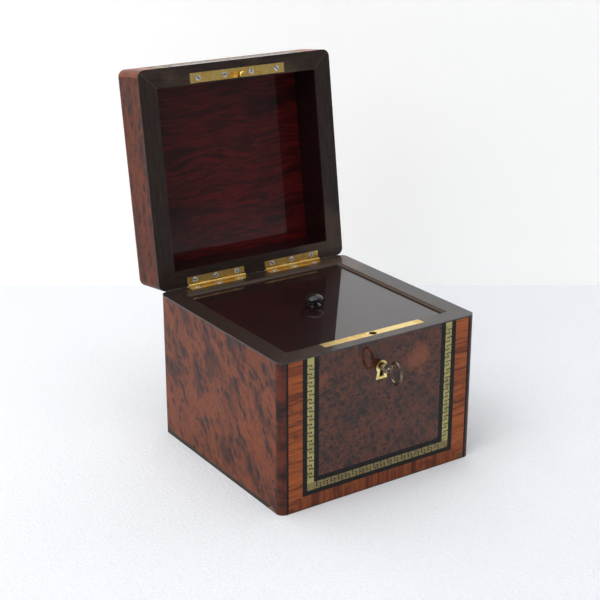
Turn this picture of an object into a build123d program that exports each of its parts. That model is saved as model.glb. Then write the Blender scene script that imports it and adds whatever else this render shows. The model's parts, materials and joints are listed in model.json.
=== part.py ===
from build123d import *
import os

# A French tea caddy: a veneered box with an inlaid front, a hinged lid standing open,
# a loose inner lid, and a small box lock with its key in place.
# Millimetres. X runs to the right of the front, Y to the back, Z up.
# The origin is the middle of the underside.

# ---- overall sizes -------------------------------------------------------------
WIDTH = 150.0
DEPTH = 147.0
BODY_HEIGHT = 101.0
LID_HEIGHT = 30.5
RIM_GAP = 0.5                 # air between the two rims when the lid is shut
LID_OPEN_ANGLE = 97.8         # degrees from shut to the stop
CORNER_RADIUS = 5.0

# ---- boards, veneers and facings -----------------------------------------------
VENEER = 0.9
RIM_THICKNESS = 1.0
SIDE_WALL = 13.0              # outside face to opening, left and right
FRONT_WALL = 13.0
BACK_WALL = 11.7
BASE_THICKNESS = 8.0
LINING_BOARD = 3.0            # boards that line the compartment and carry the inner lid
LEDGE_Z = 94.0
FOIL = 0.3
FOIL_TOP_Z = 93.0
LID_LINING = 0.8
LID_TOP_BOARD = 2.3
LID_RECESS = 26.5
LID_EDGE_HEIGHT = LID_TOP_BOARD + VENEER      # lipping round the lid's upper edge

# ---- the inlaid frame: widths counted inward from an edge ------------------------
EDGE_STRIP = 4.5
STRINGING = 1.5
CROSSBAND = 10.2
OUTER_EBONY = 3.4
KEY_WIDTH = 4.9
INNER_EBONY = 3.5
FOOT_CROSSBAND = 9.0          # the run along the foot, and along the lid's upper edge
FOOT_OUTER_EBONY = 3.0
FOOT_INNER_EBONY = 3.3
LID_EDGE_ROUNDING = 2.6
KEY_PERIOD = 5.5
KEY_LINE = 0.7                # width of a dark line of the Greek key
KEY_REACH = 0.71 * KEY_WIDTH  # how far a line goes across the strip
KEY_HOOK = 1.7
KEY_BRASS = 0.4

# ---- hinges ----------------------------------------------------------------------
HINGE_CENTRE_X = 31.0
HINGE_LENGTH = 45.0
HINGE_Y = DEPTH / 2
HINGE_Z = BODY_HEIGHT + RIM_GAP / 2
KNUCKLE_RADIUS = 1.6
KNUCKLES = 5
KNUCKLE_GAP = 0.2
HINGE_PIN_RADIUS = 0.75
HINGE_RUNNING_FIT = 0.05
LEAF_THICKNESS = 1.2
LEAF_FRONT_Y = 67.2
HINGE_SCREW_Y = 69.5
HINGE_SCREW_PITCH = 16.6
KNUCKLE_CLEARANCE = 0.3

# ---- wood screws -----------------------------------------------------------------
SCREW_HEAD_RADIUS = 1.9
SCREW_HEAD_DEPTH = 0.95
SCREW_SHANK_RADIUS = 0.95
SCREW_LENGTH = 8.0
SCREW_CROWN = 0.1
SCREW_SLOT_WIDTH = 0.5
SCREW_SLOT_DEPTH = 0.35

# ---- lock, key and strike ----------------------------------------------------------
LOCK_Y = -63.7                # middle plane of the bolt, and of the strike's stud
LOCK_PLATE_HALF = 38.0
LOCK_PLATE_FRONT_Y = -66.5
PLATE_THICKNESS = 1.2
STUD_HOLE_RADIUS = 2.5
LOCK_RIVET_X = 13.0
LOCK_RIVET_RADIUS = 1.2
CASE_HALF = 22.0
CASE_WALL = 0.8
CASE_BOTTOM_Z = 74.5
MORTISE_MARGIN = 0.3          # room round the keyhole inside the board
COVER_HALF = 27.5
LOCK_SCREW_X = 25.0
LOCK_SCREW_Z = 87.0
KEY_Z = 82.5                  # height of the key's axis
BIT_REACH = 6.3
BIT_FRONT_Y = -65.4
BIT_BACK_Y = -62.5
BIT_THICKNESS = 1.2
BARREL_RADIUS = 2.0
BARREL_TIP_Y = -62.2
KEY_SHANK = [(0, 0), (BARREL_RADIUS, 0), (BARREL_RADIUS, 13.4), (2.5, 13.6), (2.7, 14.1),
             (2.5, 14.6), (2.1, 14.8), (2.1, 15.2), (3.1, 15.5), (3.3, 16.0), (3.1, 16.5),
             (2.2, 16.8), (2.2, 17.3), (2.9, 17.6), (3.0, 18.0), (2.8, 18.5), (1.9, 19.0),
             (1.6, 20.4), (0, 20.4)]           # radius, distance from the tip: barrel, then collar rings
BIT_NOTCH_FRONT_Y = -64.4
BIT_NOTCH_BACK_Y = -63.6
BIT_NOTCH_DEPTH = 1.6
BOW_CENTRE_Y = -88.0
BOW_OUTER = (6.0, 7.7)        # half length along the key, half height
BOW_HOLE = (3.8, 5.3)
BOW_THICKNESS = 2.2
BOW_ROUNDING = 0.8
DRILL_PIN_RADIUS = 1.0
DRILL_PIN_TIP_Y = -69.5
PIN_RUNNING_FIT = 0.05
KEYHOLE_RADIUS = 2.35
KEYHOLE_FOOT_Z = 75.6
BOLT_THICKNESS = 1.6
BOLT_THROW = 6.0
BOLT_NOSE_RADIUS = 0.9
RAIL_HIGH_Z = 93.5
TALON_FOOT_Z = 86.3
TALON_LEFT = (-19.0, -15.5)   # the left leg, from x to x
TALON_RIGHT = (8.0, 11.0)
BOLT_HEAD_RIGHT_X = -8.5
BOLT_HEAD_TOP_Z = 98.5
GUIDE_POST_X = -1.0
GUIDE_POST_Z = 91.4
GUIDE_POST_RADIUS = 0.6
GUIDE_SLOT_MARGIN = 0.3
SPRING_WIDTH = 1.8
SPRING_FREE_END_X = 7.0
SPRING_BEND_X = 14.0
STUD_RELIEF = 0.5             # room in the case below the stud's tip
STUD_RADIUS = 2.1
STUD_LENGTH = 6.5
STUD_EYE_RADIUS = 1.3
STRIKE_HALF = 37.0
STRIKE_FRONT_Y = -68.0
STRIKE_BACK_Y = -61.4
STRIKE_SCREWS_X = (-30.8, -10.4, 10.4, 30.8)
STRIKE_SCREW_Y = -64.6
ESCUTCHEON_DEPTH = 1.3
ESCUTCHEON_HEAD_Z = 82.0
ESCUTCHEON_HEAD_RADIUS = 4.3
ESCUTCHEON_SKIRT_Z = 74.0
ESCUTCHEON_SKIRT_HALF = (2.7, 4.35)          # half width at the head, and at the foot
KEYHOLE_SLOT_HALF = (1.0, 1.7)               # half width at the top, and at the foot

# ---- inner lid -------------------------------------------------------------------
INNER_LID_GAP = 0.35          # all round, inside the opening
INNER_LID_THICKNESS = 5.0
INNER_LID_REST_GAP = 0.1
KNOB_RADIUS = 6.0
KNOB_SPIGOT_RADIUS = 2.0
INNER_LID_CHAMFER = 0.4
KNOB_PROFILE = [(KNOB_SPIGOT_RADIUS, 0), (4.2, 0), (4.4, 0.6), (3.9, 1.2), (2.7, 1.8), (2.4, 2.7),
                (3.2, 3.5), (5.2, 4.0), (KNOB_RADIUS, 4.8), (5.9, 5.5), (5.2, 6.4), (3.8, 7.3),
                (2.0, 7.9), (0, 8.1)]         # radius, height above the panel

# ---- worked out from the above -----------------------------------------------------
HALF_W = WIDTH / 2
HALF_D = DEPTH / 2
OPEN_X = HALF_W - SIDE_WALL
OPEN_FRONT_Y = -HALF_D + FRONT_WALL
OPEN_BACK_Y = HALF_D - BACK_WALL
RIM_Z = BODY_HEIGHT - RIM_THICKNESS
LID_Z = BODY_HEIGHT + RIM_GAP
LID_TOP_Z = LID_Z + LID_HEIGHT
LID_WALL_Z = LID_Z + RIM_THICKNESS
LID_RECESS_Z = LID_Z + LID_RECESS
LID_BOARD_Z = LID_RECESS_Z + LID_LINING
TOP_VENEER_Z = LID_TOP_Z - VENEER
BAND_X = [HALF_W - EDGE_STRIP]          # half widths from one band to the next, inward
for band_width in (STRINGING, CROSSBAND, OUTER_EBONY, KEY_WIDTH, INNER_EBONY):
    BAND_X.append(BAND_X[-1] - band_width)
FOOT_Z = [0.0]                          # heights from one band to the next, upward
for band_width in (FOOT_CROSSBAND, FOOT_OUTER_EBONY, KEY_WIDTH, FOOT_INNER_EBONY):
    FOOT_Z.append(FOOT_Z[-1] + band_width)
LID_BAND_TOP_Z = LID_TOP_Z - LID_EDGE_HEIGHT
RAIL_LOW_Z = KEY_Z + BIT_REACH + 0.5
NOSE_Z = LID_Z - STUD_LENGTH + 2.3

FRONT_FACE = Plane(origin=(0, -HALF_D + VENEER, 0), x_dir=(1, 0, 0), z_dir=(0, -1, 0))
FRONT_BRASS = FRONT_FACE.offset(VENEER - KEY_BRASS)
TOP_FACE = Plane.XY.offset(TOP_VENEER_Z)
TOP_BRASS = Plane.XY.offset(LID_TOP_Z - KEY_BRASS)
HINGE_AXIS = Axis((0, HINGE_Y, HINGE_Z), (1, 0, 0))


# ---- small helpers -----------------------------------------------------------------
def block(low, high):
    """A box from its lowest corner to its highest."""
    size = [top - bottom for bottom, top in zip(low, high)]
    centre = [(top + bottom) / 2 for bottom, top in zip(low, high)]
    return Pos(*centre) * Box(*size)


def plate(points, plane, thickness):
    """A flat plate with the given outline, standing on a plane."""
    outline = make_face(Polyline(*points, close=True))
    return plane * extrude(outline, thickness, dir=(0, 0, 1))


def column(points, z_low, z_high):
    """An upright prism over a plan outline."""
    return plate(points, Plane.XY.offset(z_low), z_high - z_low)


def rounded_block(inset, z_low, z_high):
    """The box's plan, moved in by inset on every side, as an upright block."""
    plan = RectangleRounded(WIDTH - 2 * inset, DEPTH - 2 * inset, CORNER_RADIUS - inset)
    return Pos(0, 0, z_low) * extrude(plan, z_high - z_low)


def rod(start, end, radius):
    """A round bar between two points."""
    start = Vector(*start)
    span = Vector(*end) - start
    return Plane(origin=start, z_dir=span) * extrude(Circle(radius), span.length)


def turned(points, axis_plane):
    """A solid of revolution: points are (radius, height) about the plane's Z."""
    profile = make_face(Polyline(*points, close=True))
    return axis_plane * revolve(Plane.XZ * profile, Axis.Z)


def group(solids):
    """Several separate solids kept in one node."""
    return Compound([solid for item in solids for solid in item.solids()])


def open_lid(shape):
    """Turn a piece of the shut lid to where it stands open."""
    return shape.rotate(HINGE_AXIS, -LID_OPEN_ANGLE)


# ---- plan zones that share a wall out at the corners ---------------------------------
def wall_zone(side, inset_x, front_y, back_y, reach=5.0):
    """Plan outline of one wall: inner edge along the opening, mitred at both ends."""
    far = HALF_W + reach
    front_out = -HALF_D - reach
    back_out = HALF_D + reach
    arc_y = HALF_D - CORNER_RADIUS
    arc_x = HALF_W - CORNER_RADIUS
    if side == "front":
        return [(-inset_x, front_y), (inset_x, front_y), (far, front_out), (-far, front_out)]
    if side == "back":
        return [(-inset_x, back_y), (-arc_x, arc_y), (-far, back_out),
                (far, back_out), (arc_x, arc_y), (inset_x, back_y)]
    sign = 1 if side == "right" else -1
    return [(sign * inset_x, front_y), (sign * far, front_out), (sign * far, back_out),
            (sign * arc_x, arc_y), (sign * inset_x, back_y)]


def front_corner_space(z_low, z_high):
    """The two square channels that hold the front corner strips."""
    strips = []
    for sign in (-1, 1):
        inner = sign * (HALF_W - EDGE_STRIP)
        outer = sign * (HALF_W + 1)
        low_x, high_x = sorted((inner, outer))
        strips.append(block((low_x, -HALF_D - 1, z_low), (high_x, -HALF_D + EDGE_STRIP, z_high)))
    return strips


def carcass_wall(side, inset_x, front_y, back_y, z_low, z_high):
    """One carcass board under the veneer, mitred to its neighbours."""
    board = rounded_block(VENEER, z_low, z_high)
    board &= column(wall_zone(side, inset_x, front_y, back_y), z_low, z_high)
    for channel in front_corner_space(z_low - 1, z_high + 1):
        board -= channel
    return board


def veneer_sheet(side, z_low, z_high):
    """One sheet of side or back veneer, following the rounded back corner."""
    skin = rounded_block(0, z_low, z_high) - rounded_block(VENEER, z_low, z_high)
    skin &= column(wall_zone(side, OPEN_X, OPEN_FRONT_Y, OPEN_BACK_Y), z_low, z_high)
    for channel in front_corner_space(z_low - 1, z_high + 1):
        skin -= channel
    return skin


def corner_strips(z_low, z_high):
    """Solid strips with a rounded outer edge, one up each front corner."""
    body = rounded_block(0, z_low, z_high)
    return [body & channel for channel in front_corner_space(z_low, z_high)]


def rim_facing(side, z_low):
    """One mitred strip of the ebonised facing on a rim."""
    ring = rounded_block(0, z_low, z_low + RIM_THICKNESS)
    return ring & column(wall_zone(side, OPEN_X, OPEN_FRONT_Y, OPEN_BACK_Y), z_low,
                         z_low + RIM_THICKNESS)


# ---- the inlaid frames ---------------------------------------------------------------
def u_band(outer_x, inner_x, outer_end, inner_end, open_end):
    """Outlines of a band on three sides: left, across the end, right, mitred."""
    left = [(-outer_x, open_end), (-outer_x, outer_end), (-inner_x, inner_end), (-inner_x, open_end)]
    across = [(-outer_x, outer_end), (outer_x, outer_end), (inner_x, inner_end), (-inner_x, inner_end)]
    right = [(-x, y) for x, y in left]
    return [left, across, right]


def square_band(outer_x, inner_x, outer_y, inner_y):
    """Outlines of a band round a rectangle, mitred at its four corners."""
    runs = []
    for sign in (-1, 1):
        runs.append([(-outer_x, sign * outer_y), (outer_x, sign * outer_y),
                     (inner_x, sign * inner_y), (-inner_x, sign * inner_y)])
        runs.append([(sign * outer_x, -outer_y), (sign * outer_x, outer_y),
                     (sign * inner_x, inner_y), (sign * inner_x, -inner_y)])
    return runs


def key_line_notch(start, reach, hook):
    """One dark line of the Greek key: in from the inner edge, then along."""
    return [(start, 0), (start, reach), (start + hook, reach), (start + hook, reach - KEY_LINE),
            (start + KEY_LINE, reach - KEY_LINE), (start + KEY_LINE, 0)]


def key_strip_outline(length, mitre_start, mitre_end):
    """A brass strip cut to a Greek key: u along the inner edge, v outward from it."""
    margin = KEY_LINE
    periods = int((length - 2 * margin) / KEY_PERIOD)
    first = (length - periods * KEY_PERIOD) / 2 + KEY_PERIOD / 4 - KEY_LINE
    inner_edge = [(0, 0)]
    outer_edge = [(length + (KEY_WIDTH if mitre_end else 0), KEY_WIDTH)]
    for index in range(periods):
        inner_edge += key_line_notch(first + index * KEY_PERIOD, KEY_REACH, KEY_HOOK)
    for index in reversed(range(periods)):
        far_side = first + (index + 0.5) * KEY_PERIOD + KEY_LINE
        turned_notch = key_line_notch(0, KEY_REACH, KEY_HOOK)
        outer_edge += [(far_side - u, KEY_WIDTH - v) for u, v in turned_notch]
    inner_edge.append((length, 0))
    outer_edge.append((-KEY_WIDTH if mitre_start else 0, KEY_WIDTH))
    return inner_edge + outer_edge


def key_strip(corner, along, outward, length, mitre_start, mitre_end, plane):
    """Lay a Greek key strip from a corner, in the plane's own two directions."""
    outline = key_strip_outline(length, mitre_start, mitre_end)
    points = [(corner[0] + u * along[0] + v * outward[0], corner[1] + u * along[1] + v * outward[1])
              for u, v in outline]
    return plate(points, plane, KEY_BRASS)


def front_key_strips(inner_end, open_end):
    """Brass Greek key on three sides of the front; the open side is a sawn end."""
    x = BAND_X[4]
    direction = 1 if open_end > inner_end else -1
    rise = abs(open_end - inner_end)
    strips = [key_strip((-x, inner_end), (0, direction), (-1, 0), rise, True, False, FRONT_BRASS),
              key_strip((-x, inner_end), (1, 0), (0, -direction), 2 * x, True, True, FRONT_BRASS),
              key_strip((x, inner_end), (0, direction), (1, 0), rise, True, False, FRONT_BRASS)]
    return strips


# ---- body ----------------------------------------------------------------------------
def hinge_cut(z_low, z_high):
    """Space for the hinge leaves and knuckles in rims, boards and veneer."""
    cuts = []
    for sign in (-1, 1):
        centre = sign * HINGE_CENTRE_X
        half = HINGE_LENGTH / 2
        cuts.append(block((centre - half, LEAF_FRONT_Y, z_low), (centre + half, HALF_D + 3, z_high)))
        cuts.append(rod((centre - half - 0.3, HINGE_Y, HINGE_Z), (centre + half + 0.3, HINGE_Y, HINGE_Z),
                        KNUCKLE_RADIUS + KNUCKLE_CLEARANCE))
    return cuts


def screw_sites(pattern):
    """Screw positions (x, y, slot angle) of a named pattern."""
    if pattern == "hinge":
        offsets = (-HINGE_SCREW_PITCH, 0, HINGE_SCREW_PITCH)
        xs = [sign * HINGE_CENTRE_X + offset for sign in (-1, 1) for offset in offsets]
        return [(x, HINGE_SCREW_Y, 25 + 47 * index) for index, x in enumerate(xs)]
    return [(x, STRIKE_SCREW_Y, 40 + 61 * index) for index, x in enumerate(STRIKE_SCREWS_X)]


def screw_body(place):
    """A countersunk wood screw without its slot, head outward along the plane's Z."""
    edge = SCREW_HEAD_RADIUS
    points = [(0, SCREW_CROWN), (edge * 0.6, SCREW_CROWN * 0.7), (edge, 0),
              (SCREW_SHANK_RADIUS, -SCREW_HEAD_DEPTH), (SCREW_SHANK_RADIUS, -SCREW_LENGTH + 1.5),
              (0, -SCREW_LENGTH)]
    return turned(points, place)


def screw(place, slot_angle):
    """A slotted countersunk wood screw."""
    slot = Rot(0, 0, slot_angle) * Pos(0, 0, SCREW_CROWN - SCREW_SLOT_DEPTH / 2 + 0.05)
    slot *= Box(2 * SCREW_HEAD_RADIUS + 1, SCREW_SLOT_WIDTH, SCREW_SLOT_DEPTH + 0.1)
    return screw_body(place) - place * slot


def up_plane(x, y, z):
    return Plane(origin=(x, y, z), x_dir=(1, 0, 0), z_dir=(0, 0, 1))


def down_plane(x, y, z):
    return Plane(origin=(x, y, z), x_dir=(1, 0, 0), z_dir=(0, 0, -1))


def body_screws():
    return [screw(up_plane(x, y, BODY_HEIGHT), angle) for x, y, angle in screw_sites("hinge")]


def lid_screws(pattern):
    return [screw(down_plane(x, y, LID_Z), angle) for x, y, angle in screw_sites(pattern)]


def body_screw_holes():
    return [screw_body(up_plane(x, y, BODY_HEIGHT)) for x, y, _ in screw_sites("hinge")]


def lid_screw_holes(pattern):
    return [screw_body(down_plane(x, y, LID_Z)) for x, y, _ in screw_sites(pattern)]


def without(shape, cutters):
    """A shape less every cutter that reaches it."""
    for cutter in cutters:
        shape -= cutter
    return shape


def keyhole(front_y, back_y, margin=0.0):
    """The keyhole: a round top for the barrel and a flared slot for the bit."""
    radius = KEYHOLE_RADIUS + margin
    round_part = rod((0, front_y, KEY_Z), (0, back_y, KEY_Z), radius)
    top_half, foot_half = (half + margin for half in KEYHOLE_SLOT_HALF)
    slot = [(-top_half, KEY_Z), (-foot_half, KEYHOLE_FOOT_Z - margin),
            (foot_half, KEYHOLE_FOOT_Z - margin), (top_half, KEY_Z)]
    slot_plane = Plane(origin=(0, back_y, 0), x_dir=(1, 0, 0), z_dir=(0, -1, 0))
    return round_part + plate(slot, slot_plane, back_y - front_y)


def escutcheon_blank(front_y, back_y):
    """Outline of the flush keyhole plate: a round head over a flared skirt."""
    head = rod((0, front_y, ESCUTCHEON_HEAD_Z), (0, back_y, ESCUTCHEON_HEAD_Z), ESCUTCHEON_HEAD_RADIUS)
    top_half, foot_half = ESCUTCHEON_SKIRT_HALF
    skirt = [(-top_half, ESCUTCHEON_HEAD_Z), (-foot_half, ESCUTCHEON_SKIRT_Z),
             (foot_half, ESCUTCHEON_SKIRT_Z), (top_half, ESCUTCHEON_HEAD_Z)]
    skirt_plane = Plane(origin=(0, back_y, 0), x_dir=(1, 0, 0), z_dir=(0, -1, 0))
    return head + plate(skirt, skirt_plane, back_y - front_y)


def lock_mortise():
    """Everything cut out of the front board for the lock."""
    case = block((-CASE_HALF, LOCK_PLATE_FRONT_Y, CASE_BOTTOM_Z),
                 (CASE_HALF, OPEN_FRONT_Y + 1, BODY_HEIGHT))
    cover = block((-COVER_HALF, OPEN_FRONT_Y - CASE_WALL, CASE_BOTTOM_Z),
                  (COVER_HALF, OPEN_FRONT_Y + 1, BODY_HEIGHT))
    top = block((-LOCK_PLATE_HALF, LOCK_PLATE_FRONT_Y, BODY_HEIGHT - PLATE_THICKNESS),
                (LOCK_PLATE_HALF, OPEN_FRONT_Y + 1, BODY_HEIGHT))
    return [case, cover, top, keyhole(-HALF_D, LOCK_PLATE_FRONT_Y, MORTISE_MARGIN),
            escutcheon_blank(-HALF_D, -HALF_D + ESCUTCHEON_DEPTH)]


def lock_screw_planes():
    """Screws that hold the lock, driven forward from inside the box."""
    return [Plane(origin=(sign * LOCK_SCREW_X, OPEN_FRONT_Y, LOCK_SCREW_Z), x_dir=(1, 0, 0),
                  z_dir=(0, 1, 0)) for sign in (-1, 1)]


def make_body_boards(parts):
    for side in ("front", "back", "left", "right"):
        board = carcass_wall(side, OPEN_X, OPEN_FRONT_Y, OPEN_BACK_Y, 0, RIM_Z)
        if side == "front":
            cuts = lock_mortise() + [screw_body(place) for place in lock_screw_planes()]
            board = without(board, cuts)
        if side == "back":
            board = without(board, hinge_cut(BODY_HEIGHT - LEAF_THICKNESS, BODY_HEIGHT))
            board = without(board, body_screw_holes())
        parts[f"{side}_board"] = board
    parts["base_board"] = block((-OPEN_X, OPEN_FRONT_Y, 0), (OPEN_X, OPEN_BACK_Y, BASE_THICKNESS))


def make_body_skins(parts):
    parts["left_burl_veneer"] = veneer_sheet("left", 0, RIM_Z)
    parts["right_burl_veneer"] = veneer_sheet("right", 0, RIM_Z)
    knuckle_space = hinge_cut(BODY_HEIGHT - LEAF_THICKNESS, BODY_HEIGHT)
    parts["back_burl_veneer"] = without(veneer_sheet("back", 0, RIM_Z), knuckle_space)
    parts["front_corner_strips"] = group(corner_strips(0, RIM_Z))
    for side in ("front", "back", "left", "right"):
        facing = rim_facing(side, RIM_Z)
        if side == "front":
            facing -= block((-LOCK_PLATE_HALF, LOCK_PLATE_FRONT_Y, RIM_Z - 1),
                            (LOCK_PLATE_HALF, OPEN_FRONT_Y + 1, BODY_HEIGHT + 1))
        if side == "back":
            facing = without(facing, knuckle_space)
        parts[f"{side}_rim_facing"] = facing


def make_front_marquetry(parts):
    """Burl panel in a frame of ebony, Greek key, ebony, kingwood and stringing."""
    panel = plate([(-BAND_X[5], FOOT_Z[4]), (BAND_X[5], FOOT_Z[4]), (BAND_X[5], RIM_Z),
                   (-BAND_X[5], RIM_Z)], FRONT_FACE, VENEER)
    parts["front_burl_panel"] = panel - escutcheon_blank(-HALF_D - 1, -HALF_D + ESCUTCHEON_DEPTH)
    ebony = u_band(BAND_X[4], BAND_X[5], FOOT_Z[3], FOOT_Z[4], RIM_Z)
    ebony += u_band(BAND_X[2], BAND_X[3], FOOT_Z[1], FOOT_Z[2], RIM_Z)
    for sign in (-1, 1):
        ebony.append([(sign * BAND_X[0], 0), (sign * BAND_X[1], 0), (sign * BAND_X[1], RIM_Z),
                      (sign * BAND_X[0], RIM_Z)])
    parts["front_ebony_bands"] = group([plate(run, FRONT_FACE, VENEER) for run in ebony])
    bed = u_band(BAND_X[3], BAND_X[4], FOOT_Z[2], FOOT_Z[3], RIM_Z)
    parts["front_key_bed"] = group([plate(run, FRONT_FACE, VENEER - KEY_BRASS) for run in bed])
    parts["front_key_inlay"] = group(front_key_strips(FOOT_Z[3], RIM_Z))
    kingwood = u_band(BAND_X[1], BAND_X[2], FOOT_Z[0], FOOT_Z[1], RIM_Z)
    parts["front_crossband"] = group([plate(run, FRONT_FACE, VENEER) for run in kingwood])


def make_compartment(parts):
    """Lining boards whose top edge carries the inner lid, and the foil inside them."""
    inner_x = OPEN_X - LINING_BOARD
    inner_front = OPEN_FRONT_Y + LINING_BOARD
    inner_back = OPEN_BACK_Y - LINING_BOARD
    boards = [block((-OPEN_X, OPEN_FRONT_Y, BASE_THICKNESS), (OPEN_X, inner_front, LEDGE_Z)),
              block((-OPEN_X, inner_back, BASE_THICKNESS), (OPEN_X, OPEN_BACK_Y, LEDGE_Z))]
    for sign in (-1, 1):
        low_x, high_x = sorted((sign * inner_x, sign * OPEN_X))
        boards.append(block((low_x, inner_front, BASE_THICKNESS), (high_x, inner_back, LEDGE_Z)))
    parts["compartment_lining"] = group(boards)
    foil = block((-inner_x, inner_front, BASE_THICKNESS), (inner_x, inner_back, FOIL_TOP_Z))
    foil -= block((-inner_x + FOIL, inner_front + FOIL, BASE_THICKNESS + FOIL),
                  (inner_x - FOIL, inner_back - FOIL, FOIL_TOP_Z + 1))
    parts["foil_lining"] = foil


# ---- inner lid -----------------------------------------------------------------------
def make_inner_lid(parts):
    low_z = LEDGE_Z + INNER_LID_REST_GAP
    top_z = low_z + INNER_LID_THICKNESS
    middle_y = (OPEN_FRONT_Y + OPEN_BACK_Y) / 2
    panel = block((-OPEN_X + INNER_LID_GAP, OPEN_FRONT_Y + INNER_LID_GAP, low_z),
                  (OPEN_X - INNER_LID_GAP, OPEN_BACK_Y - INNER_LID_GAP, top_z))
    panel = chamfer(panel.faces().sort_by(Axis.Z)[-1].edges(), INNER_LID_CHAMFER)
    panel -= rod((0, middle_y, low_z - 1), (0, middle_y, top_z + 1), KNOB_SPIGOT_RADIUS)
    parts["inner_lid_panel"] = panel
    place = up_plane(0, middle_y, top_z)
    profile = [(0, -INNER_LID_THICKNESS), (KNOB_SPIGOT_RADIUS, -INNER_LID_THICKNESS)] + KNOB_PROFILE
    parts["inner_lid_knob"] = turned(profile, place)


# ---- lock and key ----------------------------------------------------------------------
def make_lock(parts):
    plate_low = BODY_HEIGHT - PLATE_THICKNESS
    rivets = [rod((sign * LOCK_RIVET_X, LOCK_Y, plate_low - 1.2),
                  (sign * LOCK_RIVET_X, LOCK_Y, BODY_HEIGHT), LOCK_RIVET_RADIUS) for sign in (-1, 1)]
    selvedge = block((-LOCK_PLATE_HALF, LOCK_PLATE_FRONT_Y, plate_low),
                     (LOCK_PLATE_HALF, OPEN_FRONT_Y, BODY_HEIGHT))
    selvedge -= rod((0, LOCK_Y, plate_low - 1), (0, LOCK_Y, BODY_HEIGHT + 1), STUD_HOLE_RADIUS)
    parts["lock_plate"] = without(selvedge, rivets)
    parts["lock_rivets"] = group(rivets)

    cover_front = OPEN_FRONT_Y - CASE_WALL
    case = block((-CASE_HALF, LOCK_PLATE_FRONT_Y, CASE_BOTTOM_Z), (CASE_HALF, cover_front, plate_low))
    case -= block((-CASE_HALF + CASE_WALL, LOCK_PLATE_FRONT_Y + CASE_WALL, CASE_BOTTOM_Z + CASE_WALL),
                  (CASE_HALF - CASE_WALL, cover_front + 1, plate_low - CASE_WALL))
    case -= rod((0, LOCK_Y, LID_Z - STUD_LENGTH - STUD_RELIEF), (0, LOCK_Y, plate_low + 1),
                STUD_HOLE_RADIUS + 0.1)
    case -= keyhole(LOCK_PLATE_FRONT_Y - 1, LOCK_PLATE_FRONT_Y + CASE_WALL + 0.1)
    case += rod((GUIDE_POST_X, LOCK_PLATE_FRONT_Y + CASE_WALL, GUIDE_POST_Z),
                (GUIDE_POST_X, cover_front, GUIDE_POST_Z), GUIDE_POST_RADIUS)
    parts["lock_case"] = without(case, rivets)

    cover = block((-COVER_HALF, cover_front, CASE_BOTTOM_Z), (COVER_HALF, OPEN_FRONT_Y, plate_low))
    cover -= rod((0, cover_front - 1, KEY_Z), (0, OPEN_FRONT_Y + 1, KEY_Z),
                 DRILL_PIN_RADIUS + PIN_RUNNING_FIT)
    screws = [screw(place, 90) for place in lock_screw_planes()]
    parts["lock_cover"] = without(cover, [screw_body(place) for place in lock_screw_planes()])
    parts["lock_screws"] = group([item & block((-HALF_W, -HALF_D, 0), (HALF_W, OPEN_FRONT_Y, LID_Z))
                                  for item in screws])

    fixed_x = CASE_HALF - CASE_WALL
    blade = [(fixed_x, RAIL_HIGH_Z + 3.9), (fixed_x, RAIL_HIGH_Z + 4.5), (SPRING_BEND_X, RAIL_HIGH_Z + 1.9),
             (SPRING_FREE_END_X, RAIL_HIGH_Z + 1.0), (SPRING_FREE_END_X, RAIL_HIGH_Z + 0.5),
             (SPRING_BEND_X, RAIL_HIGH_Z + 1.3)]
    blade_plane = Plane(origin=(0, LOCK_Y + SPRING_WIDTH / 2, 0), x_dir=(1, 0, 0), z_dir=(0, -1, 0))
    parts["bolt_spring"] = plate(blade, blade_plane, SPRING_WIDTH)


def make_bolt(parts):
    """Sliding bolt, drawn back: a rail over the key, two talon legs, a head and its nose."""
    left_x, left_inner_x = TALON_LEFT
    right_inner_x, right_x = TALON_RIGHT
    outline = [(left_x, TALON_FOOT_Z), (left_inner_x, TALON_FOOT_Z), (left_inner_x, RAIL_LOW_Z),
               (right_inner_x, RAIL_LOW_Z), (right_inner_x, TALON_FOOT_Z), (right_x, TALON_FOOT_Z),
               (right_x, RAIL_HIGH_Z), (BOLT_HEAD_RIGHT_X, RAIL_HIGH_Z),
               (BOLT_HEAD_RIGHT_X, BOLT_HEAD_TOP_Z), (left_x, BOLT_HEAD_TOP_Z)]
    plane = Plane(origin=(0, LOCK_Y + BOLT_THICKNESS / 2, 0), x_dir=(1, 0, 0), z_dir=(0, -1, 0))
    bolt = plate(outline, plane, BOLT_THICKNESS)
    slot_margin = GUIDE_POST_RADIUS + GUIDE_SLOT_MARGIN
    bolt -= block((GUIDE_POST_X - BOLT_THROW - slot_margin, LOCK_Y - 2, GUIDE_POST_Z - slot_margin),
                  (GUIDE_POST_X + slot_margin, LOCK_Y + 2, GUIDE_POST_Z + slot_margin))
    nose_tip = -STUD_RADIUS - 1.0
    bolt += rod((BOLT_HEAD_RIGHT_X - 0.5, LOCK_Y, NOSE_Z), (nose_tip, LOCK_Y, NOSE_Z), BOLT_NOSE_RADIUS)
    parts["lock_bolt"] = bolt


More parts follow.
